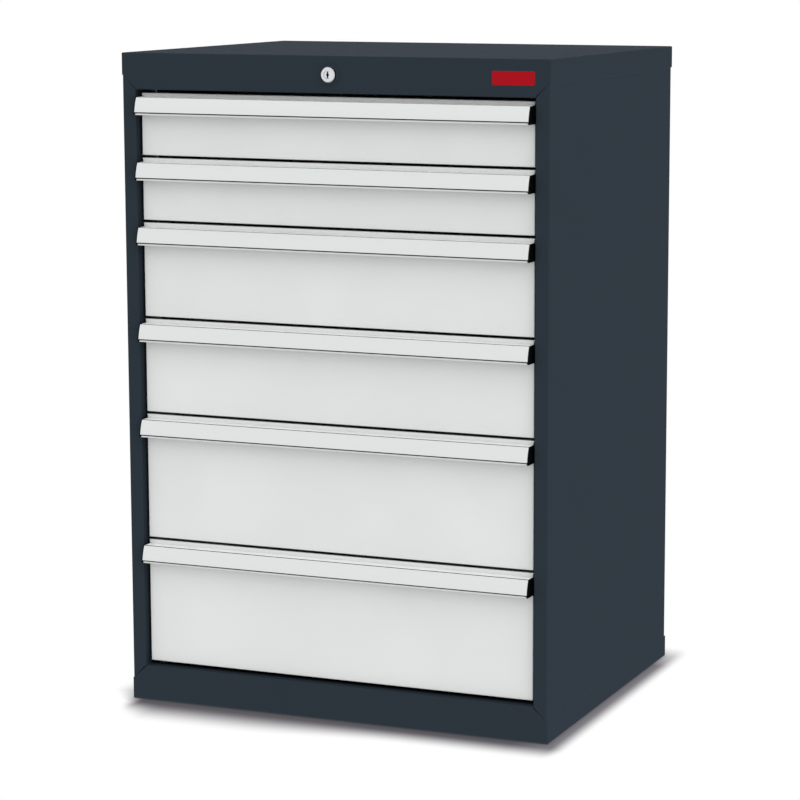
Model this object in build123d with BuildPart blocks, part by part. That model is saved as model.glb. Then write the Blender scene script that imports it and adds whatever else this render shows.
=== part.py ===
"""Floor-standing workshop cabinet with six full-extension drawers and a central lock.

Millimetres. X runs across the front, Y from front to back and Z up. The origin is on the
floor, at the middle of the cabinet's outline with the handles counted in.
"""

import os
from math import asin, atan2, cos, hypot, sin, sqrt

from build123d import *

# Housing, folded from steel sheet
WIDTH = 701.0
DEPTH = 572.0
SHEET = 1.5
BEND = 2.0
FLANGE = 34.0
RAIL_HEIGHT = 56.0
STILE = 22.0
RETURN = 22.0
REAR_FLANGE = 20.0
TOP_MITRE_GAP = 0.1
BASE_MITRE_GAP = 0.4

# Slotted uprights that carry the slides
UPRIGHT_WIDTH = 40.0
UPRIGHT_INSET = 6.0
UPRIGHT_FRONT_SETBACK = 60.0
UPRIGHT_REAR_SETBACK = 110.0
SLOT_PITCH = 50.0
SLOT_WIDTH = 14.0
SLOT_HEIGHT = 6.0

# Drawers, listed from the top one down by the slot pitches that each takes in the stack
DRAWER_STEPS = (2, 2, 3, 3, 4, 4)
STACK_ABOVE = 3.0
STACK_BELOW = 4.0
FRONT_GAP = 4.0
SIDE_GAP = 4.0
RECESS = 11.0
FRONT_SHEET = 1.2
FRONT_FLANGE = 12.0
FRONT_BEND = 2.0
BOX_SHEET = 1.0
BOX_LIFT = 4.0
BOX_DROP = 14.0
BOX_REAR_SPACE = 55.0
BOX_HEM = 7.0
HEM_DROP = 6.0

# Handle extrusion, with its label strip and end caps
HANDLE_REACH = 25.7
HANDLE_HEIGHT = 33.2
HANDLE_WALL = 1.8
HANDLE_LEG = 26.0
FACE_REACH = 19.0
FACE_TOP = 6.4
FACE_LOW = 28.8
FACE_BULGE = 1.0
TRAY_DROP = 14.0
LIP_SETBACK = 1.2
LIP_ROUND = 1.2
GROOVE = 1.5
GROOVE_DEPTH = 2.5
GROOVE_WALL = 1.4
LABEL_SHEET = 1.2
LABEL_PLAY = 0.1
LABEL_ROUND = 0.5
CAP_SHEET = 1.5
CAP_PLUG = 10.0
CAP_PLAY = 0.3

# Telescopic slides, with depths measured from the upright towards the drawer
SLIDE_DEPTH = 15.0
SLIDE_HEIGHT = 46.0
SLIDE_SHEET = 1.5
SLIDE_PLAY = 0.3
SLIDE_LIP = 3.5
SLIDE_FOOT = 3.2
SLIDE_LIFT = 35.0
SLIDE_FRONT_GAP = 2.0
OUTER_DEPTH = 13.0
HOOK_SHEET = 2.5
HOOK_WIDTH = 12.0
HOOK_DROP = 3.0
HOOK_BELOW = 16.0
HOOK_PLAY = 0.1

# Lock cylinder, drive rod and crank
LOCK_DROP = 28.0
LOCK_FACE = 23.0
LOCK_PROUD = 7.5
LOCK_BEVEL = 1.2
LOCK_PLAY = 0.25
BARREL = 18.0
BARREL_LENGTH = 24.0
NUT_ACROSS = 24.0
NUT_HEIGHT = 4.0
PLUG = 12.0
PLUG_SUNK = 0.6
PLUG_TAIL = 4.0
KEYWAY_WIDTH = 2.4
KEYWAY_HEIGHT = 10.0
KEYWAY_WAIST = 4.6
KEYWAY_DEPTH = 10.0
ROD = 8.0
ROD_BRACKET_WIDTH = 30.0
ROD_BRACKET_FLANGE = 18.0
ROD_BRACKET_DROP = 9.0
CRANK_RADIUS = 14.0
CRANK_SHEET = 3.0
CRANK_RIM = 3.5
CRANK_PIN = 5.0
CRANK_TO_BRACKET = 6.0
CRANK_TO_BAR = 5.0

# Locking bar, with a finger for each drawer's keeper
BAR_WIDTH = 30.0
BAR_SHEET = 3.0
BAR_HEAD = 6.0
BAR_PLAY = 0.3
BAR_SLOT_PLAY = 0.75
BAR_REAR_SPACE = 12.0
GUIDE_HEIGHT = 14.0
GUIDE_WALL = 4.0
KEEPER_SHEET = 2.0
KEEPER_WIDTH = 40.0
KEEPER_HEIGHT = 20.0
KEEPER_REACH = 22.0
KEEPER_LIFT = 30.0
KEEPER_PLAY = 1.5
FINGER_WIDTH = 12.0
FINGER_SHEET = 6.0
FINGER_LENGTH = 24.0
FINGER_CLEAR = 2.0

# Places that follow from the sizes above
PITCHES = [steps * SLOT_PITCH for steps in DRAWER_STEPS]
HEIGHT = 2 * RAIL_HEIGHT + STACK_BELOW + sum(PITCHES) + STACK_ABOVE
HANDLE_PROUD = HANDLE_REACH - RECESS
FRONT = HANDLE_PROUD - (DEPTH + HANDLE_PROUD) / 2
BACK = FRONT + DEPTH
SIDE_OUT = WIDTH / 2 - SHEET
SIDE_IN = SIDE_OUT - SHEET
OPENING_HALF = SIDE_OUT - STILE
RAIL_END = WIDTH / 2 - BEND
WALL_LOW = BEND
WALL_HIGH = HEIGHT - BEND
PANEL_FRONT = BACK - 3 * SHEET
MID_PLANE = Plane.XY.offset(HEIGHT / 2)

UPRIGHT_FACE = OPENING_HALF - UPRIGHT_INSET
UPRIGHT_STARTS = (
    FRONT + UPRIGHT_FRONT_SETBACK,
    BACK - UPRIGHT_REAR_SETBACK - UPRIGHT_WIDTH,
)
FRONT_FACE = FRONT + RECESS
FRONT_HALF = OPENING_HALF - SIDE_GAP
FRONT_TOPS = [
    RAIL_HEIGHT + STACK_BELOW + sum(PITCHES[drawer:]) - FRONT_GAP / 2
    for drawer in range(len(PITCHES))
]
BOX_LOWS = [top - pitch + FRONT_GAP + BOX_LIFT for top, pitch in zip(FRONT_TOPS, PITCHES)]
BOX_HALF = UPRIGHT_FACE - SLIDE_DEPTH
BOX_START = FRONT_FACE + FRONT_SHEET
BOX_END = BACK - BOX_REAR_SPACE
SLIDE_START = FRONT_FACE + FRONT_FLANGE + SLIDE_FRONT_GAP
SLIDE_LENGTH = BOX_END - SLIDE_START
SLIDE_CENTRES = [low + SLIDE_LIFT for low in BOX_LOWS]
SLOT_LOW = SLIDE_CENTRES[-1] - HOOK_BELOW

FACE_CHORD = hypot(HANDLE_REACH - FACE_REACH, FACE_LOW - FACE_TOP)
FACE_RADIUS = FACE_CHORD**2 / (8 * FACE_BULGE) + FACE_BULGE / 2
FACE_SPREAD = 2 * asin(FACE_CHORD / (2 * FACE_RADIUS))
FACE_LENGTH = FACE_RADIUS * FACE_SPREAD
FACE_RISE = atan2(HANDLE_REACH - FACE_REACH, FACE_LOW - FACE_TOP) + FACE_SPREAD / 2
ARC_REACH = FACE_REACH - FACE_RADIUS * cos(FACE_RISE)
ARC_DROP = FACE_TOP + FACE_RADIUS * sin(FACE_RISE)
WALL_FRONT = LABEL_SHEET + LABEL_PLAY
WALL_BACK = WALL_FRONT + HANDLE_WALL
GROOVE_BACK = WALL_FRONT + GROOVE_DEPTH
LIP_BACK = GROOVE_BACK + GROOVE_WALL
HANDLE_HALF = FRONT_HALF - CAP_SHEET

LOCK_Z = HEIGHT - LOCK_DROP
PLUG_END = FRONT + BARREL_LENGTH + PLUG_TAIL
BAR_REAR = PANEL_FRONT - BAR_REAR_SPACE
BAR_FRONT = BAR_REAR - BAR_SHEET
CRANK_REAR = BAR_FRONT - CRANK_TO_BAR
CRANK_SIDE = CRANK_RADIUS / sqrt(2)
BAR_LIFT = 2 * CRANK_SIDE
BAR_X = -(CRANK_SIDE + CRANK_RADIUS) / 2
BAR_SLOT_Z = LOCK_Z - CRANK_SIDE
BAR_SLOT_HEIGHT = CRANK_PIN + 2 * BAR_SLOT_PLAY
BAR_SLOT_WIDTH = CRANK_RADIUS - CRANK_SIDE + BAR_SLOT_HEIGHT
BAR_TOP = BAR_SLOT_Z + BAR_SLOT_HEIGHT / 2 + BAR_HEAD
FINGER_FRONT = BOX_END + (KEEPER_REACH - FINGER_SHEET) / 2
FINGER_TOPS = [low + KEEPER_LIFT - FINGER_CLEAR for low in BOX_LOWS]
FINGER_LOWS = [top - FINGER_LENGTH - FINGER_SHEET for top in FINGER_TOPS]

os.makedirs("parts", exist_ok=True)


def write(piece, name):
    """Label a finished piece and write its file."""
    piece.part.label = name
    export_step(piece.part, f"parts/{name}.step")


def folded(plane, points, sheet, radius, side):
    """Profile of a sheet of even thickness that lies against a bent line on a plane."""
    with BuildSketch(plane) as profile:
        with BuildLine():
            FilletPolyline(*points, radius=radius)
            offset(amount=sheet, side=side, kind=Kind.INTERSECTION)
        make_face()
    return profile.sketch


def outline(plane, points):
    """Face with straight edges on a plane."""
    with BuildSketch(plane) as profile:
        with BuildLine():
            Polyline(*points, close=True)
        make_face()
    return profile.sketch


def disc(plane, diameter):
    """Round face on a plane, about the lock's axis."""
    with BuildSketch(plane) as profile:
        with Locations((0, LOCK_Z)):
            Circle(diameter / 2)
    return profile.sketch


def across(y):
    """Upright plane that faces the front at a distance along Y."""
    return Plane.XZ.offset(-y)


def folded_tray():
    """Tray with three low flanges and a taller front rail that has mitred ends."""
    rail = (
        (-RAIL_END, FLANGE),
        (-OPENING_HALF, RAIL_HEIGHT - BEND),
        (OPENING_HALF, RAIL_HEIGHT - BEND),
        (RAIL_END, FLANGE),
    )
    fold = ((FRONT, FLANGE), (FRONT, RAIL_HEIGHT), (FRONT + RETURN, RAIL_HEIGHT))
    fold_half = OPENING_HALF - BASE_MITRE_GAP
    with BuildPart() as pan:
        with BuildSketch():
            with Locations((0, (FRONT + BACK) / 2)):
                Rectangle(WIDTH, DEPTH)
        extrude(amount=FLANGE)
        fillet(edges().group_by(Axis.Z)[0] + edges().filter_by(Axis.Z), radius=BEND)
        offset(amount=-SHEET, openings=faces().sort_by(Axis.Z)[-1])
        extrude(outline(across(FRONT), rail), amount=-SHEET)
        extrude(
            folded(Plane.YZ.offset(-fold_half), fold, SHEET, BEND, Side.RIGHT),
            amount=2 * fold_half,
        )
    return pan


def mitre_waste(gap):
    """What the tray's front rail and flanges take away from a side panel's lower end."""
    slope = (RAIL_HEIGHT - FLANGE) / (RAIL_END - OPENING_HALF)
    inner = OPENING_HALF - SHEET
    inner_top = RAIL_HEIGHT + (OPENING_HALF - inner) * slope + gap
    outer_top = RAIL_HEIGHT - (SIDE_IN - OPENING_HALF) * slope + gap
    stile_end = ((inner, 0), (SIDE_IN, 0), (SIDE_IN, outer_top), (inner, inner_top))
    wall_end = ((SIDE_IN, 0), (WIDTH / 2, 0), (WIDTH / 2, outer_top), (SIDE_IN, outer_top))
    with BuildPart() as waste:
        extrude(outline(across(FRONT), stile_end), amount=-RETURN - SHEET)
        extrude(outline(across(FRONT), wall_end), amount=-BEND)
    return waste


def side_panel():
    """Right-hand wall, folded with its front stile and its rear flange."""
    skin = (
        (SIDE_OUT - REAR_FLANGE, BACK - SHEET),
        (SIDE_OUT, BACK - SHEET),
        (SIDE_OUT, FRONT),
        (OPENING_HALF, FRONT),
        (OPENING_HALF, FRONT + RETURN),
    )
    low_waste = mitre_waste(BASE_MITRE_GAP)
    high_waste = mitre_waste(TOP_MITRE_GAP)
    with BuildPart() as panel:
        extrude(
            folded(Plane.XY.offset(WALL_LOW), skin, SHEET, BEND, Side.RIGHT),
            amount=WALL_HIGH - WALL_LOW,
        )
        add(low_waste.part, mode=Mode.SUBTRACT)
        add(mirror(high_waste.part, about=MID_PLANE, mode=Mode.PRIVATE), mode=Mode.SUBTRACT)
    return panel


def upright(start):
    """Slotted right-hand upright, folded to a channel against the side panel."""
    end = start + UPRIGHT_WIDTH
    skin = ((SIDE_IN, start), (UPRIGHT_FACE, start), (UPRIGHT_FACE, end), (SIDE_IN, end))
    slots = sum(DRAWER_STEPS)
    slots_middle = SLOT_LOW + (SLOT_HEIGHT + (slots - 1) * SLOT_PITCH) / 2
    with BuildPart() as post:
        extrude(
            folded(Plane.XY.offset(SHEET), skin, SHEET, BEND, Side.RIGHT),
            amount=HEIGHT - 2 * SHEET,
        )
        with BuildSketch(Plane.YZ.offset(UPRIGHT_FACE)):
            with Locations(((start + end) / 2, slots_middle)):
                with GridLocations(SLOT_WIDTH, SLOT_PITCH, 1, slots):
                    Rectangle(SLOT_WIDTH, SLOT_HEIGHT)
        extrude(amount=SHEET, mode=Mode.SUBTRACT)
    return post


def drawer_front(top, height):
    """Front panel, folded back along all four edges."""
    with BuildPart() as panel:
        with BuildSketch(across(FRONT_FACE)):
            with Locations((0, top - height / 2)):
                Rectangle(2 * FRONT_HALF, height)
        extrude(amount=-FRONT_FLANGE)
        fillet(faces().sort_by(Axis.Y)[0].edges(), radius=FRONT_BEND)
        offset(amount=-FRONT_SHEET, openings=faces().sort_by(Axis.Y)[-1])
    return panel


def drawer_box(low, height):
    """Open tray of a drawer, with hemmed sides and the lock's slotted keeper on its rear wall."""
    high = low + height
    hem_edge = BOX_HALF + BOX_HEM
    hem = ((BOX_HALF, high), (hem_edge, high), (hem_edge, high - HEM_DROP))
    keeper_low = low + KEEPER_LIFT
    keeper = (
        (BOX_END, keeper_low + KEEPER_HEIGHT),
        (BOX_END, keeper_low),
        (BOX_END + KEEPER_REACH, keeper_low),
    )
    with BuildPart() as box:
        with BuildSketch(Plane.XY.offset(low)):
            with Locations((0, (BOX_START + BOX_END) / 2)):
                Rectangle(2 * BOX_HALF, BOX_END - BOX_START)
        extrude(amount=height)
        offset(amount=-BOX_SHEET, openings=faces().sort_by(Axis.Z)[-1], kind=Kind.INTERSECTION)
        extrude(
            folded(across(BOX_START), hem, BOX_SHEET, 0, Side.RIGHT),
            amount=BOX_START - BOX_END,
        )
        mirror(about=Plane.YZ)
        extrude(
            folded(
                Plane.YZ.offset(BAR_X - KEEPER_WIDTH / 2), keeper, KEEPER_SHEET, BEND, Side.LEFT
            ),
            amount=KEEPER_WIDTH,
        )
        with BuildSketch(Plane.XY.offset(keeper_low)):
            with Locations((BAR_X, FINGER_FRONT + FINGER_SHEET / 2)):
                Rectangle(FINGER_WIDTH + 2 * KEEPER_PLAY, FINGER_SHEET + 2 * KEEPER_PLAY)
        extrude(amount=KEEPER_SHEET, mode=Mode.SUBTRACT)
    return box


def handle_plane(x, top):
    """Section plane of a handle: forward from the drawer's face, and up from its top edge."""
    return Plane(origin=(x, FRONT_FACE, top), x_dir=(0, -1, 0), z_dir=(-1, 0, 0))


def on_face(down, inward):
    """Point of a handle's section, by the distances down its curved face and in from it."""
    angle = FACE_RISE - down / FACE_RADIUS
    radius = FACE_RADIUS - inward
    return (ARC_REACH + radius * cos(angle), radius * sin(angle) - ARC_DROP)


def down_wall(drop):
    """Distance down the face where the wall's back is this far below the drawer's top edge."""
    return (FACE_RISE - asin((ARC_DROP - drop) / (FACE_RADIUS - WALL_BACK))) * FACE_RADIUS


def face_arc(start, end, inward):
    """Stretch of a handle's curved face, or of a line in from it, between two distances down."""
    ThreePointArc(
        on_face(start, inward), on_face((start + end) / 2, inward), on_face(end, inward)
    )


def handle(top):
    """Grip extrusion: a curved wall with a tray behind it, a finger lip and a label groove."""
    ceiling = TRAY_DROP + HANDLE_WALL
    finger_top = down_wall(ceiling)
    tray_low = down_wall(TRAY_DROP)
    bead_top = FACE_LENGTH - GROOVE_WALL
    lip_top = FACE_LENGTH + GROOVE
    lip_front = on_face(lip_top, LIP_SETBACK)
    lip_rear = on_face(lip_top, LIP_BACK)
    with BuildPart() as grip:
        with BuildSketch(handle_plane(HANDLE_HALF, top)):
            with BuildLine():
                face_arc(WALL_FRONT, FACE_LENGTH, WALL_FRONT)
                Polyline(
                    on_face(FACE_LENGTH, WALL_FRONT),
                    on_face(FACE_LENGTH, GROOVE_BACK),
                    on_face(lip_top, GROOVE_BACK),
                    lip_front,
                    (lip_front[0], -HANDLE_HEIGHT),
                    (lip_rear[0], -HANDLE_HEIGHT),
                    on_face(bead_top, LIP_BACK),
                    on_face(bead_top, WALL_BACK),
                )
                face_arc(bead_top, finger_top, WALL_BACK)
                Polyline(
                    on_face(finger_top, WALL_BACK),
                    (HANDLE_WALL, -ceiling),
                    (HANDLE_WALL, -HANDLE_LEG),
                    (0, -HANDLE_LEG),
                    (0, -TRAY_DROP),
                    on_face(tray_low, WALL_BACK),
                )
                face_arc(tray_low, WALL_FRONT, WALL_BACK)
                Line(on_face(WALL_FRONT, WALL_BACK), on_face(WALL_FRONT, WALL_FRONT))
            make_face()
            fillet(vertices().group_by(Axis.Y)[0], radius=LIP_ROUND)
        extrude(amount=2 * HANDLE_HALF)
    return grip


def label_strip(top):
    """Curved strip that hooks over the handle's wall and ends above its groove."""
    with BuildPart() as strip:
        with BuildSketch(handle_plane(HANDLE_HALF, top)):
            with BuildLine():
                face_arc(0, FACE_LENGTH, 0)
                Line(on_face(FACE_LENGTH, 0), on_face(FACE_LENGTH, LABEL_SHEET))
                face_arc(FACE_LENGTH, LABEL_SHEET, LABEL_SHEET)
                Polyline(
                    on_face(LABEL_SHEET, LABEL_SHEET),
                    on_face(LABEL_SHEET, WALL_BACK),
                    on_face(0, WALL_BACK),
                    on_face(0, 0),
                )
            make_face()
            fillet(vertices().sort_by_distance((*on_face(0, 0), 0))[0], radius=LABEL_ROUND)
        extrude(amount=2 * HANDLE_HALF)
    return strip


def handle_caps(top):
    """Pair of end plates of a handle, each with a hollow plug in the finger space."""
    high = TRAY_DROP + HANDLE_WALL + CAP_PLAY
    rear = HANDLE_WALL + CAP_PLAY
    front_high = on_face(down_wall(high), WALL_BACK + CAP_PLAY)
    front_low = on_face(FACE_LENGTH - GROOVE_WALL - CAP_PLAY, WALL_BACK + CAP_PLAY)
    plug = ((rear, front_high[1]), front_high, front_low, (rear, front_low[1]))
    with BuildPart() as caps:
        with BuildSketch(handle_plane(FRONT_HALF, top)):
            with BuildLine():
                face_arc(0, FACE_LENGTH, 0)
                Polyline(
                    on_face(FACE_LENGTH, 0),
                    (HANDLE_REACH, -HANDLE_HEIGHT),
                    (0, -HANDLE_HEIGHT),
                    (0, -FACE_TOP),
                    on_face(0, 0),
                )
            make_face()
            fillet(vertices().sort_by_distance((HANDLE_REACH, -HANDLE_HEIGHT, 0))[0], LIP_ROUND)
        extrude(amount=CAP_SHEET)
        with BuildSketch(handle_plane(HANDLE_HALF, top)):
            with BuildLine():
                Polyline(*plug, close=True)
            make_face()
            offset(amount=-CAP_SHEET, kind=Kind.INTERSECTION, mode=Mode.SUBTRACT)
        extrude(amount=CAP_PLUG)
        mirror(about=Plane.YZ)
    return caps


def rail_hook(centre, start):
    """Hook of a cabinet member, through a slot of one upright and down behind its sheet."""
    low = centre - HOOK_BELOW + HOOK_PLAY
    behind = UPRIGHT_FACE + SHEET + HOOK_PLAY
    hook = (
        (UPRIGHT_FACE, low),
        (behind, low),
        (behind, low - HOOK_DROP),
        (behind + HOOK_SHEET, low - HOOK_DROP),
        (behind + HOOK_SHEET, low + HOOK_SHEET),
        (UPRIGHT_FACE, low + HOOK_SHEET),
    )
    return outline(across(start + (UPRIGHT_WIDTH + HOOK_WIDTH) / 2), hook)


def slide_pair(centre, points, hooked_at=()):
    """Left and right members of the slides at one height, from a member's bent line."""
    plane = Plane(origin=(UPRIGHT_FACE, SLIDE_START, centre), x_dir=(-1, 0, 0), z_dir=(0, 1, 0))
    with BuildPart() as pair:
        extrude(folded(plane, points, SLIDE_SHEET, 0, Side.LEFT), amount=SLIDE_LENGTH)
        for start in hooked_at:
            extrude(rail_hook(centre, start), amount=HOOK_WIDTH)
        mirror(about=Plane.YZ)
    return pair


def channel(back, front, half, lip_end):
    """Bent line of a lipped channel that opens towards the drawer."""
    return (
        (front, lip_end),
        (front, half),
        (back, half),
        (back, -half),
        (front, -half),
        (front, -lip_end),
    )


def slide_lines():
    """Bent lines of the cabinet, middle and drawer members, nested with running play."""
    step = SLIDE_SHEET + SLIDE_PLAY
    outer_half = SLIDE_HEIGHT / 2
    middle_half = outer_half - step
    foot_half = middle_half - step
    leg_half = foot_half - SLIDE_FOOT
    leg_inside = leg_half - SLIDE_SHEET
    foot_back = 2 * step
    foot_front = OUTER_DEPTH - 2 * step
    web = SLIDE_DEPTH - SLIDE_SHEET
    outer = channel(0, OUTER_DEPTH, outer_half, outer_half - SLIDE_LIP)
    middle = channel(step, OUTER_DEPTH - step, middle_half, leg_half + SLIDE_PLAY)
    upper = (
        (foot_front, foot_half),
        (foot_back, foot_half),
        (foot_back, leg_inside),
        (web, leg_inside),
    )
    lower = tuple((depth, -height) for depth, height in reversed(upper))
    return outer, middle, upper + lower


def finger(low):
    """Hooked finger of the locking bar, reaching forward and then up."""
    rear = FINGER_FRONT + FINGER_SHEET
    arm_top = low + FINGER_SHEET
    tip = arm_top + FINGER_LENGTH
    hook = (
        (BAR_FRONT, low),
        (FINGER_FRONT, low),
        (FINGER_FRONT, tip),
        (rear, tip),
        (rear, arm_top),
        (BAR_FRONT, arm_top),
    )
    return outline(Plane.YZ.offset(BAR_X - FINGER_WIDTH / 2), hook)


# Housing
base_pan = folded_tray()
write(base_pan, "base_pan")

with BuildPart() as top_cover:
    add(mirror(base_pan.part, about=MID_PLANE, mode=Mode.PRIVATE))
    extrude(disc(across(FRONT), BARREL + 2 * LOCK_PLAY), amount=-SHEET, mode=Mode.SUBTRACT)
write(top_cover, "top_cover")

side_panel_right = side_panel()
write(side_panel_right, "side_panel_right")

with BuildPart() as side_panel_left:
    add(mirror(side_panel_right.part, about=Plane.YZ, mode=Mode.PRIVATE))
write(side_panel_left, "side_panel_left")

with BuildPart() as back_panel:
    with BuildSketch(across(PANEL_FRONT)):
        with Locations((0, HEIGHT / 2)):
            Rectangle(2 * (SIDE_OUT - BEND), WALL_HIGH - WALL_LOW)
    extrude(amount=-SHEET)
write(back_panel, "back_panel")

with BuildPart() as uprights:
    for upright_start in UPRIGHT_STARTS:
        add(upright(upright_start).part)
    mirror(about=Plane.YZ)
write(uprights, "uprights")

# Lock
with BuildPart() as lock_housing:
    extrude(disc(across(FRONT), LOCK_FACE), amount=LOCK_PROUD)
    chamfer(edges().group_by(Axis.Y)[0], length=LOCK_BEVEL)
    extrude(disc(across(FRONT), BARREL), amount=-BARREL_LENGTH)
    extrude(
        disc(across(FRONT - LOCK_PROUD), PLUG + 2 * LOCK_PLAY),
        amount=-LOCK_PROUD - BARREL_LENGTH,
        mode=Mode.SUBTRACT,
    )
write(lock_housing, "lock_housing")

with BuildPart() as lock_nut:
    with BuildSketch(across(FRONT + SHEET)):
        with Locations((0, LOCK_Z)):
            RegularPolygon(NUT_ACROSS / 2, 6, major_radius=False)
            Circle(BARREL / 2 + LOCK_PLAY, mode=Mode.SUBTRACT)
    extrude(amount=-NUT_HEIGHT)
write(lock_nut, "lock_nut")

with BuildPart() as lock_plug:
    plug_face = across(FRONT - LOCK_PROUD + PLUG_SUNK)
    extrude(disc(plug_face, PLUG), amount=FRONT - LOCK_PROUD + PLUG_SUNK - PLUG_END)
    with BuildSketch(plug_face):
        with Locations((0, LOCK_Z)):
            Rectangle(KEYWAY_WIDTH, KEYWAY_HEIGHT)
            Circle(KEYWAY_WAIST / 2)
    extrude(amount=-KEYWAY_DEPTH, mode=Mode.SUBTRACT)
write(lock_plug, "lock_plug")

with BuildPart() as lock_shaft:
    extrude(disc(across(PLUG_END), ROD), amount=PLUG_END - CRANK_REAR)
    with BuildSketch(across(CRANK_REAR - CRANK_SHEET)):
        with Locations((0, LOCK_Z)):
            Circle(ROD / 2 + CRANK_RIM)
        with Locations((-CRANK_SIDE, BAR_SLOT_Z)):
            Circle(CRANK_PIN / 2 + CRANK_RIM)
        make_hull()
    extrude(amount=-CRANK_SHEET)
    with BuildSketch(across(CRANK_REAR)):
        with Locations((-CRANK_SIDE, BAR_SLOT_Z)):
            Circle(CRANK_PIN / 2)
    extrude(amount=CRANK_REAR - BAR_REAR - BAR_SHEET)
write(lock_shaft, "lock_shaft")

with BuildPart() as lock_bar:
    with BuildSketch(across(BAR_FRONT)):
        with Locations((BAR_X, (FINGER_LOWS[-1] + BAR_TOP) / 2)):
            Rectangle(BAR_WIDTH, BAR_TOP - FINGER_LOWS[-1])
        with Locations((BAR_X, BAR_SLOT_Z)):
            Rectangle(BAR_SLOT_WIDTH, BAR_SLOT_HEIGHT, mode=Mode.SUBTRACT)
    extrude(amount=-BAR_SHEET)
    for finger_low in FINGER_LOWS:
        extrude(finger(finger_low), amount=FINGER_WIDTH)
write(lock_bar, "lock_bar")

with BuildPart() as lock_guides:
    for upper, lower in ((0, 1), (2, 3), (4, 5)):
        guide_z = (FINGER_LOWS[upper] + FINGER_TOPS[lower] + BAR_LIFT) / 2
        guide_front = BAR_FRONT - BAR_PLAY - GUIDE_WALL
        with BuildSketch(Plane.XY.offset(guide_z - GUIDE_HEIGHT / 2)):
            with Locations((BAR_X, (guide_front + PANEL_FRONT) / 2)):
                Rectangle(BAR_WIDTH + 2 * (BAR_PLAY + GUIDE_WALL), PANEL_FRONT - guide_front)
            with Locations((BAR_X, (BAR_FRONT + BAR_REAR) / 2)):
                Rectangle(
                    BAR_WIDTH + 2 * BAR_PLAY, BAR_SHEET + 2 * BAR_PLAY, mode=Mode.SUBTRACT
                )
        extrude(amount=GUIDE_HEIGHT)
    bracket_y = CRANK_REAR - CRANK_SHEET - CRANK_TO_BRACKET
    bracket = (
        (bracket_y - ROD_BRACKET_FLANGE, HEIGHT - SHEET),
        (bracket_y, HEIGHT - SHEET),
        (bracket_y, LOCK_Z - ROD_BRACKET_DROP),
    )
    extrude(
        folded(Plane.YZ.offset(-ROD_BRACKET_WIDTH / 2), bracket, KEEPER_SHEET, BEND, Side.RIGHT),
        amount=ROD_BRACKET_WIDTH,
    )
    extrude(
        disc(across(bracket_y - KEEPER_SHEET), ROD + 2 * LOCK_PLAY),
        amount=-KEEPER_SHEET,
        mode=Mode.SUBTRACT,
    )
write(lock_guides, "lock_guides")

# Drawers, with their slides
outer_line, middle_line, drawer_line = slide_lines()
for number, pitch in enumerate(PITCHES, start=1):
    front_top = FRONT_TOPS[number - 1]
    box_low = BOX_LOWS[number - 1]
    slide_centre = SLIDE_CENTRES[number - 1]
    write(drawer_front(front_top, pitch - FRONT_GAP), f"drawer_{number}_front")
    write(drawer_box(box_low, front_top - BOX_DROP - box_low), f"drawer_{number}_box")
    write(handle(front_top), f"drawer_{number}_handle")
    write(label_strip(front_top), f"drawer_{number}_label_strip")
    write(handle_caps(front_top), f"drawer_{number}_handle_caps")
    cabinet_rails = slide_pair(slide_centre, outer_line, UPRIGHT_STARTS)
    write(cabinet_rails, f"drawer_{number}_cabinet_rails")
    write(slide_pair(slide_centre, middle_line), f"drawer_{number}_middle_rails")
    write(slide_pair(slide_centre, drawer_line), f"drawer_{number}_rails")
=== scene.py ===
"""Looks of the six-drawer workshop cabinet: finishes, small fittings, floor, light and camera."""
import math

import bmesh
import bpy
from mathutils import Matrix, Vector


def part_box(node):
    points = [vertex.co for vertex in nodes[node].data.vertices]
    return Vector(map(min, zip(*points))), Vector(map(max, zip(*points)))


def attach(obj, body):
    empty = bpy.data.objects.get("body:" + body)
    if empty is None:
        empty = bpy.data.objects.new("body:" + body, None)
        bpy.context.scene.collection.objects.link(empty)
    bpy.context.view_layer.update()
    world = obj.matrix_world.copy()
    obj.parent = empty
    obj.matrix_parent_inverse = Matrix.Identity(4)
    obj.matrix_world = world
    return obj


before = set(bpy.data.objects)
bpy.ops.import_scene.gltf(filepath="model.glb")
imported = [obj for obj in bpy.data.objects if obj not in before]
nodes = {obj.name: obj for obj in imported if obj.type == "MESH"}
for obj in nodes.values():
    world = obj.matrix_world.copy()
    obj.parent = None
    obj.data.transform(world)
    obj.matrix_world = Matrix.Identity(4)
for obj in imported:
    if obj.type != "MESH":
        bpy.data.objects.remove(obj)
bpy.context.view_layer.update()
DRAWERS = range(1, 7)

# Paint colours, linear
ANTHRACITE = (0.0219, 0.0299, 0.0394)
LIGHT_GREY = (0.636, 0.651, 0.643)
TRAY_GREY = (0.58, 0.593, 0.587)
HANDLE_GREY = (0.592, 0.607, 0.600)
STRIP_GREY = (0.608, 0.628, 0.620)
COVER_GREY = (0.870, 0.885, 0.878)
CAP_BLACK = (0.0015, 0.0015, 0.0018)
# Near-black for the painted shade in gaps, grooves and the lock's keyway
PAINTED_SHADE_BLACK = (0.004, 0.004, 0.004)
PLATE_RED = (0.325, 0.0030, 0.0085)
ZINC = (0.60, 0.615, 0.64)
NICKEL = (0.70, 0.71, 0.73)

# Reaches of the shading on edges, in grooves and in gaps between panels
EDGE_REACH = 0.0010
GROOVE_REACH = 0.0035
GAP_REACH = 0.015

# Samples of the bevel, gap and contact shading
BEVEL_SAMPLES = 6
GAP_SAMPLES = 8
CONTACT_SAMPLES = 16

# Values between which each mask turns from its one end to its other
EDGE_SPREAD = (0.995, 0.75)
STEP_SPREAD = (0.5, 1.0)
COLLAR_SPREAD = (0.45, 1.0)
CONTACT_SPREAD = (0.5, 0.9)

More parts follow.
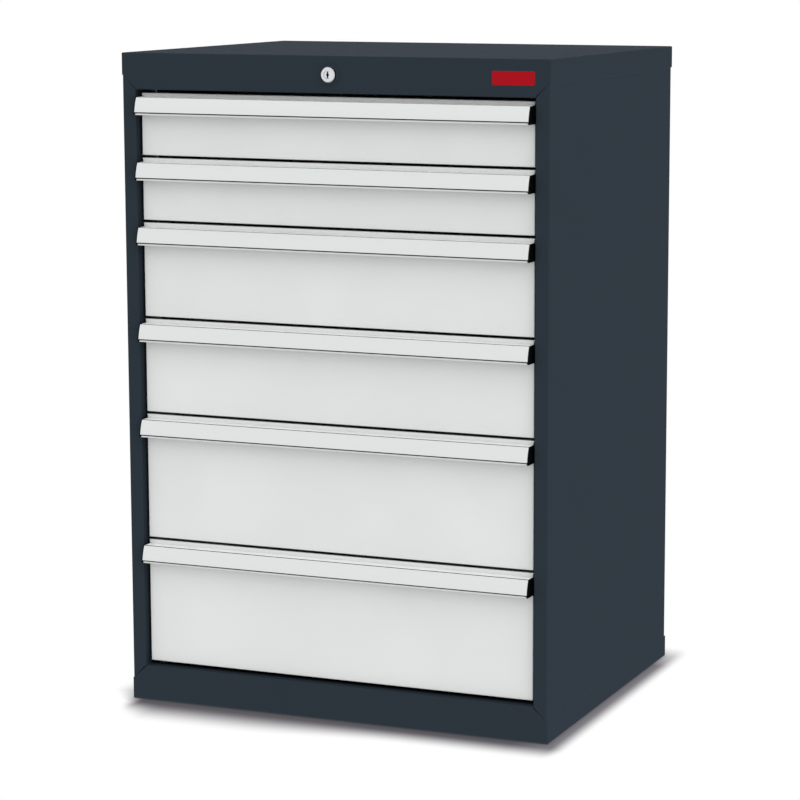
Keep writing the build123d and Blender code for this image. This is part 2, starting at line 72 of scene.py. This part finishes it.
# Scales of the textures, where larger is finer, and heights of the bumps
CLOUD_SCALE = 7.0
GLOSS_SCALE = 420.0
PEEL_SCALE = 950.0
PEEL_HEIGHT = 0.00025
METAL_CLOUD_SCALE = 14.0
LINES_ACROSS = 900.0
LINES_ALONG = 9.0
FLAKE_SCALE = 110.0
ZINC_LINES = (700.0, 12.0, 700.0)
NICKEL_CLOUD_SCALE = 160.0
RING_SCALE = 2600.0
BUMP_HEIGHT = 0.0002

# Painted shade: tone of the lock's side walls beside its front face
COLLAR_PAINTED_SHADE = 0.22

# Camera, fitted to the photograph's edges
CAMERA_PLACE = Vector((1.7348, -4.04765, 1.1820))
CAMERA_AZIMUTH = math.radians(22.018)
CAMERA_ELEVATION = math.radians(9.039)
FOCAL_PIXELS = 2774.8
CENTRE_X_PIXELS = 460.9
CENTRE_Y_PIXELS = 386.0
IMAGE_PIXELS = 800
SENSOR = 36.0
CLIP_END = 200.0

# Red plate on the header, blank
PLATE_LEFT = 0.2598
PLATE_RIGHT = 0.3258
PLATE_LOW = 0.9808
PLATE_HIGH = 1.0010
PLATE_SHEET = 0.0012
PLATE_ROUND = 0.0016
PLATE_BEVEL = 0.0003

# Covers that close the handles' trays up to a thin slit behind the label strips
COVER_DROP = 0.0063
COVER_REACH = 0.0159
COVER_FOOT = 0.0138
COVER_SHEET = 0.0012
COVER_ROUND = 0.00015
COVER_PLAY = 0.00015
# Facing below which a cover's faces take black plastic as painted shade of the slit
SLIT_SHADE_FACING = -0.9

# Rivets of the back and of the slides
RIVET_RADIUS = 0.0032
RIVET_HEIGHT = 0.0012
BACK_RIVET_PITCH = 0.15
SLIDE_RIVETS = 4
BOX_WALL = 0.305
REAR_FLANGE = 0.020
TRAY_FLANGE = 0.034

# Light that the ceiling and the right-hand wall add to the 1 that comes from all round
CEILING_LIGHT = 0.5
RIGHT_LIGHT = 0.44

# Floor
FLOOR_HALF = 30.0
FLOOR_DROP = 0.0005

# Shade on the floor, a rectangle that starts before the cabinet's front and stops short of its back
SHADE_LEFT = 0.329
SHADE_RIGHT = 0.358
SHADE_BEFORE = 0.008
SHADE_SHORT = 0.008

# Widths over which the shade runs out, and the stretches over which these widths change
SHADE_FADE_SIDE = 0.030
SHADE_FADE_LEFT_BACK = 0.082
SHADE_FADE_CORNER = 0.055
SHADE_FADE_LEFT_HALF = 0.107
SHADE_FADE_RIGHT_HALF = 0.070
SHADE_FADE_BACK = 0.070
SHADE_WIDENS = (0.020, 0.040)
SHADE_CORNER = (0.345, 0.290)
SHADE_TURN = 0.15

# Brightness left in the shade, the stretches over which it changes, and the shade's tint
SHADE_DARK_FRONT = 0.105
SHADE_DARK_SIDE = 0.200
SHADE_DARK_END = 0.620
SHADE_STEP = 0.060
SHADE_ENDS = (0.070, 0.010)
SHADE_TINT = (0.200, 0.190, 0.207)
CONTACT_REACH = 0.008
CONTACT_DARK = 0.75


def ranged(tree, value, source, target, curve="LINEAR"):
    """Map a socket's values from one range to another, held at both ends."""
    node = tree.nodes.new("ShaderNodeMapRange")
    node.interpolation_type = curve
    tree.links.new(value, node.inputs["Value"])
    for name, bound in zip(("From Min", "From Max", "To Min", "To Max"), (*source, *target)):
        if isinstance(bound, bpy.types.NodeSocket):
            tree.links.new(bound, node.inputs[name])
        else:
            node.inputs[name].default_value = bound
    return node.outputs["Result"]


def joined(tree, operation, first, second):
    """One value made from two sockets."""
    node = tree.nodes.new("ShaderNodeMath")
    node.operation = operation
    tree.links.new(first, node.inputs[0])
    tree.links.new(second, node.inputs[1])
    return node.outputs["Value"]


class Paint:
    """A new material with its principled shader, and short calls that add nodes to it."""

    def __init__(self, name, colour, roughness, metallic=0.0, specular=0.5):
        self.material = bpy.data.materials.new(name)
        self.material.use_nodes = True
        self.tree = self.material.node_tree
        self.shader = self.tree.nodes["Principled BSDF"]
        self.set(self.shader, {
            "Base Color": (*colour, 1.0),
            "Roughness": roughness,
            "Metallic": metallic,
            "Specular IOR Level": specular,
        })
        self.place = self.tree.nodes.new("ShaderNodeTexCoord").outputs["Object"]

    def set(self, node, inputs):
        """Give a node's sockets values, or link them to other nodes' outputs."""
        for name, value in inputs.items():
            if isinstance(value, bpy.types.NodeSocket):
                self.tree.links.new(value, node.inputs[name])
            else:
                node.inputs[name].default_value = value

    def add(self, kind, **inputs):
        node = self.tree.nodes.new("ShaderNode" + kind)
        self.set(node, inputs)
        return node

    def stretched(self, scale):
        """The object's own coordinates, stretched along its axes."""
        return self.add("Mapping", Vector=self.place, Scale=scale).outputs["Vector"]

    def noise(self, scale, detail=2.0, vector=None):
        return self.add("TexNoise", Vector=vector or self.place, Scale=scale, Detail=detail).outputs["Fac"]

    def spread(self, value, low, high, start=0.25, end=0.75):
        """Map a texture's values from start..end to low..high."""
        return ranged(self.tree, value, (start, end), (low, high))

    def mixed(self, share, first, second):
        """Colour between two colours, by a share from 0 to 1."""
        node = self.tree.nodes.new("ShaderNodeMix")
        node.data_type = "RGBA"
        sockets = [s for s in node.inputs if s.enabled]
        for socket, value in zip(sockets, (share, first, second)):
            if isinstance(value, bpy.types.NodeSocket):
                self.tree.links.new(value, socket)
            else:
                socket.default_value = (*value, 1.0)
        return [s for s in node.outputs if s.enabled][0]

    def rounded(self, reach):
        """Normal that turns smoothly across sharp edges and facets."""
        soft = self.tree.nodes.new("ShaderNodeBevel")
        soft.samples = BEVEL_SAMPLES
        soft.inputs["Radius"].default_value = reach
        return soft.outputs["Normal"]

    def in_the_open(self, reach, closed, open_):
        """Mask that is 1 on open faces and falls to 0 in gaps and grooves within a reach."""
        node = self.tree.nodes.new("ShaderNodeAmbientOcclusion")
        node.samples = GAP_SAMPLES
        node.inputs["Distance"].default_value = reach
        return self.spread(node.outputs["AO"], 0.0, 1.0, closed, open_)

    def edges(self, reach):
        """Mask that is 0 on flat faces and rises to 1 along sharp edges."""
        soft = self.rounded(reach)
        true = self.tree.nodes.new("ShaderNodeNewGeometry").outputs["True Normal"]
        dot = self.tree.nodes.new("ShaderNodeVectorMath")
        dot.operation = "DOT_PRODUCT"
        self.tree.links.new(soft, dot.inputs[0])
        self.tree.links.new(true, dot.inputs[1])
        return self.spread(dot.outputs["Value"], 0.0, 1.0, *EDGE_SPREAD)

    def bump(self, height, strength, distance, normal=None):
        node = self.add("Bump", Height=height, Strength=strength, Distance=distance)
        if normal:
            self.tree.links.new(normal, node.inputs["Normal"])
        self.tree.links.new(node.outputs["Normal"], self.shader.inputs["Normal"])


def tone(colour, factor):
    return tuple(min(1.0, part * factor) for part in colour)


def powder_coat(
    name, colour, roughness, specular, edge_highlight, gap_reach, closed=0.3, open_=0.62, step_fill_light=1.0
):
    """Baked powder paint: orange peel and faint clouds, with a painted highlight on edges, painted light
    on steps and painted shade in tight gaps.
    """
    paint = Paint(name, colour, roughness, specular=specular)
    clouds = paint.spread(paint.noise(CLOUD_SCALE, detail=3.0), 0.0, 1.0)
    body = paint.mixed(clouds, tone(colour, 0.975), tone(colour, 1.025))
    # Painted highlight: a lighter colour along sharp edges
    lit = paint.mixed(paint.edges(EDGE_REACH), body, tone(colour, edge_highlight))
    # Painted light: a paler colour where a step shades the face beside it, which cancels that shade
    if step_fill_light > 1.0:
        lit = paint.mixed(paint.in_the_open(gap_reach, *STEP_SPREAD), tone(colour, step_fill_light), lit)
    # Painted shade: the colour turns near-black in gaps and grooves within the reach
    paint.set(paint.shader, {
        "Base Color": paint.mixed(paint.in_the_open(gap_reach, closed, open_), PAINTED_SHADE_BLACK, lit),
        "Roughness": paint.spread(paint.noise(GLOSS_SCALE), roughness - 0.06, roughness + 0.06),
    })
    paint.bump(paint.noise(PEEL_SCALE), strength=0.12, distance=PEEL_HEIGHT)
    return paint.material


def drawn_metal(name, colour, roughness, along, metallic=1.0, specular=0.5, closed=0.5, open_=0.75):
    """Rolled, drawn or extruded metal, with fine lines along one axis and painted shade in its grooves."""
    paint = Paint(name, colour, roughness, metallic, specular)
    scale = [LINES_ACROSS] * 3
    scale["XYZ".index(along)] = LINES_ALONG
    lines = paint.noise(1.0, detail=3.0, vector=paint.stretched(scale))
    clouds = paint.spread(paint.noise(METAL_CLOUD_SCALE, detail=3.0), 0.0, 1.0)
    shade = paint.mixed(clouds, tone(colour, 0.96), tone(colour, 1.03))
    # Painted shade: the colour turns near-black in grooves within the groove reach
    paint.set(paint.shader, {
        "Base Color": paint.mixed(paint.in_the_open(GROOVE_REACH, closed, open_), PAINTED_SHADE_BLACK, shade),
        "Roughness": paint.spread(lines, roughness - 0.07, roughness + 0.08),
    })
    paint.bump(lines, strength=0.10, distance=BUMP_HEIGHT, normal=paint.rounded(EDGE_REACH))
    return paint.material


def zinc_plate(name):
    """Zinc-plated sheet, with the faint flakes of the plating and fine rolling lines."""
    paint = Paint(name, ZINC, roughness=0.36, metallic=1.0)
    flakes = paint.add("TexVoronoi", Vector=paint.place, Scale=FLAKE_SCALE).outputs["Color"]
    grey = paint.add("RGBToBW", Color=flakes).outputs["Val"]
    lines = paint.noise(1.0, detail=3.0, vector=paint.stretched(ZINC_LINES))
    paint.set(paint.shader, {
        "Base Color": paint.mixed(grey, tone(ZINC, 0.90), tone(ZINC, 1.08)),
        "Roughness": paint.spread(grey, 0.30, 0.44, 0.0, 1.0),
    })
    paint.bump(lines, strength=0.08, distance=BUMP_HEIGHT, normal=paint.rounded(EDGE_REACH))
    return paint.material


def moulded_plastic(name, colour, roughness, grain_scale, specular=0.4, edge_highlight=1.0):
    """Moulded plastic with a fine spark-eroded grain, soft edges and a painted highlight along its edges.
    """
    paint = Paint(name, colour, roughness, specular=specular)
    grain = paint.noise(grain_scale, detail=3.0)
    body = paint.mixed(paint.spread(grain, 0.0, 1.0), tone(colour, 0.97), tone(colour, 1.03))
    # Painted highlight: a lighter colour along sharp edges
    paint.set(paint.shader, {
        "Base Color": paint.mixed(paint.edges(EDGE_REACH), body, tone(colour, edge_highlight)),
        "Roughness": paint.spread(grain, roughness - 0.06, roughness + 0.08),
    })
    paint.bump(grain, strength=0.10, distance=BUMP_HEIGHT, normal=paint.rounded(EDGE_REACH))
    return paint.material


def turned_nickel(name, centre, closed, open_):
    """Nickel plate with the fine rings that turning leaves about an axis along Y, with painted shade on
    its side walls and in its grooves.
    """
    paint = Paint(name, NICKEL, roughness=0.24, metallic=1.0)
    shifted = paint.add("Mapping", Vector=paint.place, Location=tuple(-c for c in centre))
    flat = paint.add("VectorMath", Vector=shifted.outputs["Vector"])
    flat.operation = "MULTIPLY"
    flat.inputs[1].default_value = (1.0, 0.0, 1.0)
    radius = paint.tree.nodes.new("ShaderNodeVectorMath")
    radius.operation = "LENGTH"
    paint.tree.links.new(flat.outputs["Vector"], radius.inputs[0])
    rings = paint.tree.nodes.new("ShaderNodeTexNoise")
    rings.noise_dimensions = "1D"
    paint.set(rings, {"W": radius.outputs["Value"], "Scale": RING_SCALE, "Detail": 2.0})
    clouds = paint.spread(paint.noise(NICKEL_CLOUD_SCALE), 0.0, 1.0)
    geometry = paint.tree.nodes.new("ShaderNodeNewGeometry")
    facing = paint.add("VectorMath", Vector=geometry.outputs["True Normal"])
    facing.operation = "DOT_PRODUCT"
    facing.inputs[1].default_value = (0.0, -1.0, 0.0)
    front_lit = paint.spread(facing.outputs["Value"], 0.0, 1.0, *COLLAR_SPREAD)
    plate = paint.mixed(clouds, tone(NICKEL, 0.95), tone(NICKEL, 1.03))
    # Painted shade: side walls that do not face the front take a darker tone
    plate = paint.mixed(front_lit, tone(NICKEL, COLLAR_PAINTED_SHADE), plate)
    # Painted shade: the colour turns near-black in grooves and in the keyway
    paint.set(paint.shader, {
        "Base Color": paint.mixed(paint.in_the_open(GROOVE_REACH, closed, open_), PAINTED_SHADE_BLACK, plate),
        "Roughness": paint.spread(rings.outputs["Fac"], 0.18, 0.32),
    })
    paint.bump(rings.outputs["Fac"], strength=0.12, distance=BUMP_HEIGHT)
    return paint.material


def coat(node, material):
    """Give a CAD node its finish."""
    slots = nodes[node].data.materials
    slots.clear()
    slots.append(material)


def new_piece(name, mesh_data, material, body):
    """Turn a bmesh into an object that rides on a body."""
    mesh = bpy.data.meshes.new(name)
    mesh_data.normal_update()
    mesh_data.to_mesh(mesh)
    mesh_data.free()
    mesh.materials.append(material)
    piece = bpy.data.objects.new(name, mesh)
    bpy.context.scene.collection.objects.link(piece)
    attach(piece, body)
    return piece


def rounded_rectangle(width, height, radius, steps=6):
    """Points round a rectangle with rounded corners, anticlockwise."""
    points = []
    for quarter in range(4):
        turn = math.radians(90 * quarter)
        middle = Vector((
            math.copysign(width / 2 - radius, math.cos(turn + math.radians(45))),
            math.copysign(height / 2 - radius, math.sin(turn + math.radians(45))),
        ))
        for step in range(steps + 1):
            angle = turn + math.radians(90 * step / steps)
            points.append(middle + radius * Vector((math.cos(angle), math.sin(angle))))
    return points


def bridge(shape, first, second):
    """Faces between two rings with the same number of corners."""
    count = len(first)
    for corner in range(count):
        after = (corner + 1) % count
        shape.faces.new((first[corner], first[after], second[after], second[corner]))


def rivet_heads(name, places, facing, material, body, steps=5, corners=20):
    """Low domed rivet heads that stand on a face, all in one piece."""
    shape = bmesh.new()
    out = Vector(facing)
    aside = out.orthogonal().normalized()
    across = out.cross(aside)
    for place in places:
        rings = []
        for step in range(steps):
            rise = math.radians(90 * step / steps)
            rings.append([
                shape.verts.new(
                    Vector(place)
                    + out * RIVET_HEIGHT * math.sin(rise)
                    + RIVET_RADIUS * math.cos(rise) * (
                        aside * math.cos(2 * math.pi * corner / corners)
                        + across * math.sin(2 * math.pi * corner / corners)
                    )
                )
                for corner in range(corners)
            ])
        for first, second in zip(rings, rings[1:]):
            bridge(shape, first, second)
        shape.faces.new(rings[-1])
        shape.faces.new(list(reversed(rings[0])))
    for face in shape.faces:
        face.smooth = True
    return new_piece(name, shape, material, body)


# Finishes of the CAD nodes
housing_paint = powder_coat(
    "anthracite_powder_coat",
    ANTHRACITE,
    roughness=0.62,
    specular=0.0024,
    edge_highlight=1.2,
    gap_reach=GROOVE_REACH,
    closed=0.15,
    open_=0.4,
    step_fill_light=1.9,
)
drawer_paint = powder_coat(
    "light_grey_powder_coat",
    LIGHT_GREY,
    roughness=0.46,
    specular=0.25,
    edge_highlight=1.06,
    gap_reach=GAP_REACH,
    closed=0.24,
    open_=0.42,
)
tray_paint = powder_coat(
    "tray_powder_coat", TRAY_GREY, roughness=0.52, specular=0.3, edge_highlight=1.06, gap_reach=GROOVE_REACH
)
handle_coat = drawn_metal(
    "handle_coat",
    HANDLE_GREY,
    roughness=0.42,
    along="X",
    metallic=0.0,
    specular=0.3,
    closed=0.80,
    open_=1.0,
)
cover_coat = drawn_metal(
    "cover_coat",
    COVER_GREY,
    roughness=0.42,
    along="X",
    metallic=0.0,
    specular=0.3,
    closed=0.2,
    open_=0.42,
)
strip_plastic = moulded_plastic(
    "label_strip_plastic", STRIP_GREY, roughness=0.5, grain_scale=1500.0, specular=0.3, edge_highlight=1.15
)
cap_plastic = moulded_plastic(
    "black_cap_plastic", CAP_BLACK, roughness=0.62, grain_scale=1800.0, specular=0.05
)
slide_zinc = zinc_plate("slide_zinc")
upright_zinc = zinc_plate("upright_zinc")
lock_low, lock_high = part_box("lock_housing")
lock_centre = (lock_low + lock_high) / 2
rim_nickel = turned_nickel("lock_rim_nickel", lock_centre, closed=0.2, open_=0.4)
plug_nickel = turned_nickel("lock_plug_nickel", lock_centre, closed=0.5, open_=0.75)
lock_zinc = drawn_metal("lock_zinc", ZINC, roughness=0.38, along="Z")

for name in ("top_cover", "base_pan", "side_panel_left", "side_panel_right", "back_panel"):
    coat(name, housing_paint)
coat("uprights", upright_zinc)
coat("lock_housing", rim_nickel)
coat("lock_plug", plug_nickel)
for name in ("lock_nut", "lock_guides", "lock_shaft", "lock_bar"):
    coat(name, lock_zinc)
for number in DRAWERS:
    coat(f"drawer_{number}_front", drawer_paint)
    coat(f"drawer_{number}_box", tray_paint)
    coat(f"drawer_{number}_handle", handle_coat)
    coat(f"drawer_{number}_label_strip", strip_plastic)
    coat(f"drawer_{number}_handle_caps", cap_plastic)
    for member in ("cabinet_rails", "middle_rails", "rails"):
        coat(f"drawer_{number}_{member}", slide_zinc)

# Covers of the handles' trays, folded down at both long edges, black on the face in the slit as painted
# shade
for number in DRAWERS:
    handle_low, handle_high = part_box(f"drawer_{number}_handle")
    front_low, front_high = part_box(f"drawer_{number}_front")
    rear = front_low.y - COVER_PLAY
    front = front_low.y - COVER_REACH
    high = front_high.z - COVER_DROP
    low = front_high.z - COVER_FOOT
    corner = COVER_ROUND
    middle_cut = corner * (1 - math.sin(math.radians(45)))
    outline = [
        (rear, low),
        (rear, high),
        (front + corner, high),
        (front + middle_cut, high - middle_cut),
        (front, high - corner),
        (front, low),
        (front + COVER_SHEET, low),
        (front + COVER_SHEET, high - COVER_SHEET),
        (rear - COVER_SHEET, high - COVER_SHEET),
        (rear - COVER_SHEET, low),
    ]
    cover = bmesh.new()
    ends = [
        [cover.verts.new((x, y, z)) for y, z in outline]
        for x in (handle_low.x + COVER_PLAY, handle_high.x - COVER_PLAY)
    ]
    bridge(cover, ends[1], ends[0])
    cover.faces.new(list(reversed(ends[1])))
    cover.faces.new(ends[0])
    bmesh.ops.recalc_face_normals(cover, faces=cover.faces)
    # Painted shade: faces that look out of the slit take the black cap plastic
    for face in cover.faces:
        if face.normal.y < SLIT_SHADE_FACING:
            face.material_index = 1
    piece = new_piece(f"drawer_{number}_tray_cover", cover, cover_coat, f"drawer_{number}")
    piece.data.materials.append(cap_plastic)

# Blank red plate on the header
header_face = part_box("side_panel_right")[0].y
plate_shape = bmesh.new()
plate_middle = Vector(((PLATE_LEFT + PLATE_RIGHT) / 2, (PLATE_LOW + PLATE_HIGH) / 2))
rings = []
for inset, proud in (
    (0.0, 0.0),
    (0.0, PLATE_SHEET - PLATE_BEVEL),
    (PLATE_BEVEL, PLATE_SHEET),
):
    outline = rounded_rectangle(
        PLATE_RIGHT - PLATE_LEFT - 2 * inset, PLATE_HIGH - PLATE_LOW - 2 * inset, PLATE_ROUND
    )
    rings.append([
        plate_shape.verts.new((
            plate_middle.x + point.x, header_face - proud, plate_middle.y + point.y
        ))
        for point in outline
    ])
bridge(plate_shape, rings[0], rings[1])
bridge(plate_shape, rings[1], rings[2])
plate_shape.faces.new(rings[2])
plate_shape.faces.new(list(reversed(rings[0])))
red_enamel = moulded_plastic("red_enamel", PLATE_RED, roughness=0.45, grain_scale=700.0, specular=0.05)
new_piece("header_plate", plate_shape, red_enamel, "housing")

# Rivets through the rear flanges and through the drawers' walls into their slides
rear_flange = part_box("side_panel_right")[1]
tray_low, tray_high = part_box("top_cover")
base_low, base_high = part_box("base_pan")
rivet_x = rear_flange.x - REAR_FLANGE / 2
rows = round((tray_low.z - base_high.z) / BACK_RIVET_PITCH)
columns = round(2 * rivet_x / BACK_RIVET_PITCH)
side_places = [
    (side * rivet_x, rear_flange.y, base_high.z + (tray_low.z - base_high.z) * row / rows)
    for side in (-1, 1)
    for row in range(rows + 1)
]
end_places = [
    (rivet_x * (2 * column / columns - 1), tray_high.y, height)
    for height in (base_low.z + TRAY_FLANGE / 2, tray_high.z - TRAY_FLANGE / 2)
    for column in range(1, columns)
]
back_heads = rivet_heads("back_rivets", side_places + end_places, (0, 1, 0), lock_zinc, "housing")
for number in DRAWERS:
    rails_low, rails_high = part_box(f"drawer_{number}_rails")
    for side, word in ((-1, "left"), (1, "right")):
        places = [
            (
                side * BOX_WALL,
                rails_low.y + (rails_high.y - rails_low.y) * (step + 0.5) / SLIDE_RIVETS,
                (rails_low.z + rails_high.z) / 2,
            )
            for step in range(SLIDE_RIVETS)
        ]
        heads = rivet_heads(
            f"drawer_{number}_rivets_{word}", places, (-side, 0, 0), slide_zinc, f"drawer_{number}"
        )

# Floor, with the soft shade about the cabinet's foot and a dark line of contact round it
floor_shape = bmesh.new()
bmesh.ops.create_grid(floor_shape, x_segments=1, y_segments=1, size=FLOOR_HALF)
floor_mesh = bpy.data.meshes.new("floor")
floor_shape.to_mesh(floor_mesh)
floor_shape.free()
floor = bpy.data.objects.new("floor", floor_mesh)
floor.location.z = -FLOOR_DROP
bpy.context.scene.collection.objects.link(floor)
floor.visible_diffuse = False
floor.visible_glossy = False
floor_material = bpy.data.materials.new("white_floor")
floor_material.use_nodes = True
tree = floor_material.node_tree
tree.nodes.clear()
spot = tree.nodes.new("ShaderNodeTexCoord").outputs["Object"]
spot_parts = tree.nodes.new("ShaderNodeSeparateXYZ")
tree.links.new(spot, spot_parts.inputs["Vector"])
across = spot_parts.outputs["X"]
depth = spot_parts.outputs["Y"]
near_corner = ranged(
    tree, across, (-SHADE_CORNER[0], -SHADE_CORNER[1]), (SHADE_FADE_CORNER, SHADE_FADE_LEFT_HALF)
)
along_front = ranged(
    tree, across, (-SHADE_TURN, SHADE_TURN), (SHADE_FADE_LEFT_HALF, SHADE_FADE_RIGHT_HALF), "SMOOTHSTEP"
)
left_back = ranged(
    tree, across, (-SHADE_TURN, SHADE_TURN), (SHADE_FADE_LEFT_BACK, SHADE_FADE_SIDE)
)
beside = ranged(
    tree,
    depth,
    (header_face - SHADE_WIDENS[0], header_face + SHADE_WIDENS[1]),
    (SHADE_FADE_SIDE, left_back),
)
reach = tree.nodes.new("ShaderNodeCombineXYZ")
tree.links.new(beside, reach.inputs["X"])
reach.inputs["Z"].default_value = 1.0
before = joined(tree, "MINIMUM", near_corner, along_front)
tree.links.new(ranged(tree, depth, (0.0, tray_high.y), (before, SHADE_FADE_BACK)), reach.inputs["Y"])

# How far a spot lies outside the shade's rectangle, counted in fades
shade_low = Vector((-SHADE_LEFT, header_face - SHADE_BEFORE, 0.0))
shade_high = Vector((SHADE_RIGHT, tray_high.y - SHADE_SHORT, 0.0))
for operation, vector in (
    ("SUBTRACT", (shade_low + shade_high) / 2),
    ("ABSOLUTE", None),
    ("SUBTRACT", (shade_high - shade_low) / 2),
    ("MAXIMUM", Vector((0.0, 0.0, 0.0))),
    ("DIVIDE", reach.outputs["Vector"]),
    ("LENGTH", None),
):
    step = tree.nodes.new("ShaderNodeVectorMath")
    step.operation = operation
    tree.links.new(spot, step.inputs[0])
    if isinstance(vector, Vector):
        step.inputs[1].default_value = vector
    elif vector:
        tree.links.new(vector, step.inputs[1])
    spot = step.outputs["Value" if operation == "LENGTH" else "Vector"]

# The shade itself, darkened by contact and tinted where it is as dark as its tint
dark_side = ranged(
    tree,
    depth,
    (tray_high.y - SHADE_ENDS[0], tray_high.y + SHADE_ENDS[1]),
    (SHADE_DARK_SIDE, SHADE_DARK_END),
)
darkest = ranged(tree, across, (SHADE_RIGHT - SHADE_STEP, SHADE_RIGHT), (SHADE_DARK_FRONT, dark_side))
shade = ranged(tree, spot, (0.0, 1.0), (darkest, 1.0), "SMOOTHSTEP")
contact = tree.nodes.new("ShaderNodeAmbientOcclusion")
contact.samples = CONTACT_SAMPLES
contact.inputs["Distance"].default_value = CONTACT_REACH
touch = ranged(tree, contact.outputs["AO"], CONTACT_SPREAD, (CONTACT_DARK, 1.0))
glow = tree.nodes.new("ShaderNodeEmission")
tint = tree.nodes.new("ShaderNodeValToRGB")
tint.color_ramp.elements.new(SHADE_TINT[0]).color = (*SHADE_TINT, 1.0)
tree.links.new(joined(tree, "MULTIPLY", shade, touch), tint.inputs["Fac"])
tree.links.new(tint.outputs["Color"], glow.inputs["Color"])
output = tree.nodes.new("ShaderNodeOutputMaterial")
tree.links.new(glow.outputs["Emission"], output.inputs["Surface"])
floor_mesh.materials.append(floor_material)

# Light: a white studio all round, brighter towards its ceiling and its right-hand wall
scene = bpy.context.scene
scene.view_settings.view_transform = "Standard"
world = bpy.data.worlds.new("white_studio")
scene.world = world
world.use_nodes = True
sky = world.node_tree
backdrop = sky.nodes["Background"]
backdrop.inputs["Color"].default_value = (1.0, 1.0, 1.0, 1.0)
heading = sky.nodes.new("ShaderNodeSeparateXYZ")
sky.links.new(sky.nodes.new("ShaderNodeTexCoord").outputs["Generated"], heading.inputs["Vector"])
glow_above = ranged(sky, heading.outputs["Z"], (0.0, 1.0), (1.0, 1.0 + CEILING_LIGHT))
glow_beside = ranged(sky, heading.outputs["X"], (0.0, 1.0), (0.0, RIGHT_LIGHT))
sky.links.new(joined(sky, "ADD", glow_above, glow_beside), backdrop.inputs["Strength"])

# Camera
back = Vector((
    math.sin(CAMERA_AZIMUTH) * math.cos(CAMERA_ELEVATION),
    -math.cos(CAMERA_AZIMUTH) * math.cos(CAMERA_ELEVATION),
    math.sin(CAMERA_ELEVATION),
))
right = Vector((0, 0, 1)).cross(back).normalized()
up = back.cross(right)
lens = bpy.data.cameras.new("camera")
lens.sensor_width = SENSOR
lens.lens = FOCAL_PIXELS / IMAGE_PIXELS * SENSOR
lens.shift_x = (IMAGE_PIXELS / 2 - CENTRE_X_PIXELS) / IMAGE_PIXELS
lens.shift_y = (CENTRE_Y_PIXELS - IMAGE_PIXELS / 2) / IMAGE_PIXELS
lens.clip_end = CLIP_END
camera = bpy.data.objects.new("camera", lens)
scene.collection.objects.link(camera)
turn = Matrix((right, up, back)).transposed()
camera.matrix_world = Matrix.Translation(CAMERA_PLACE) @ turn.to_4x4()
scene.camera = camera
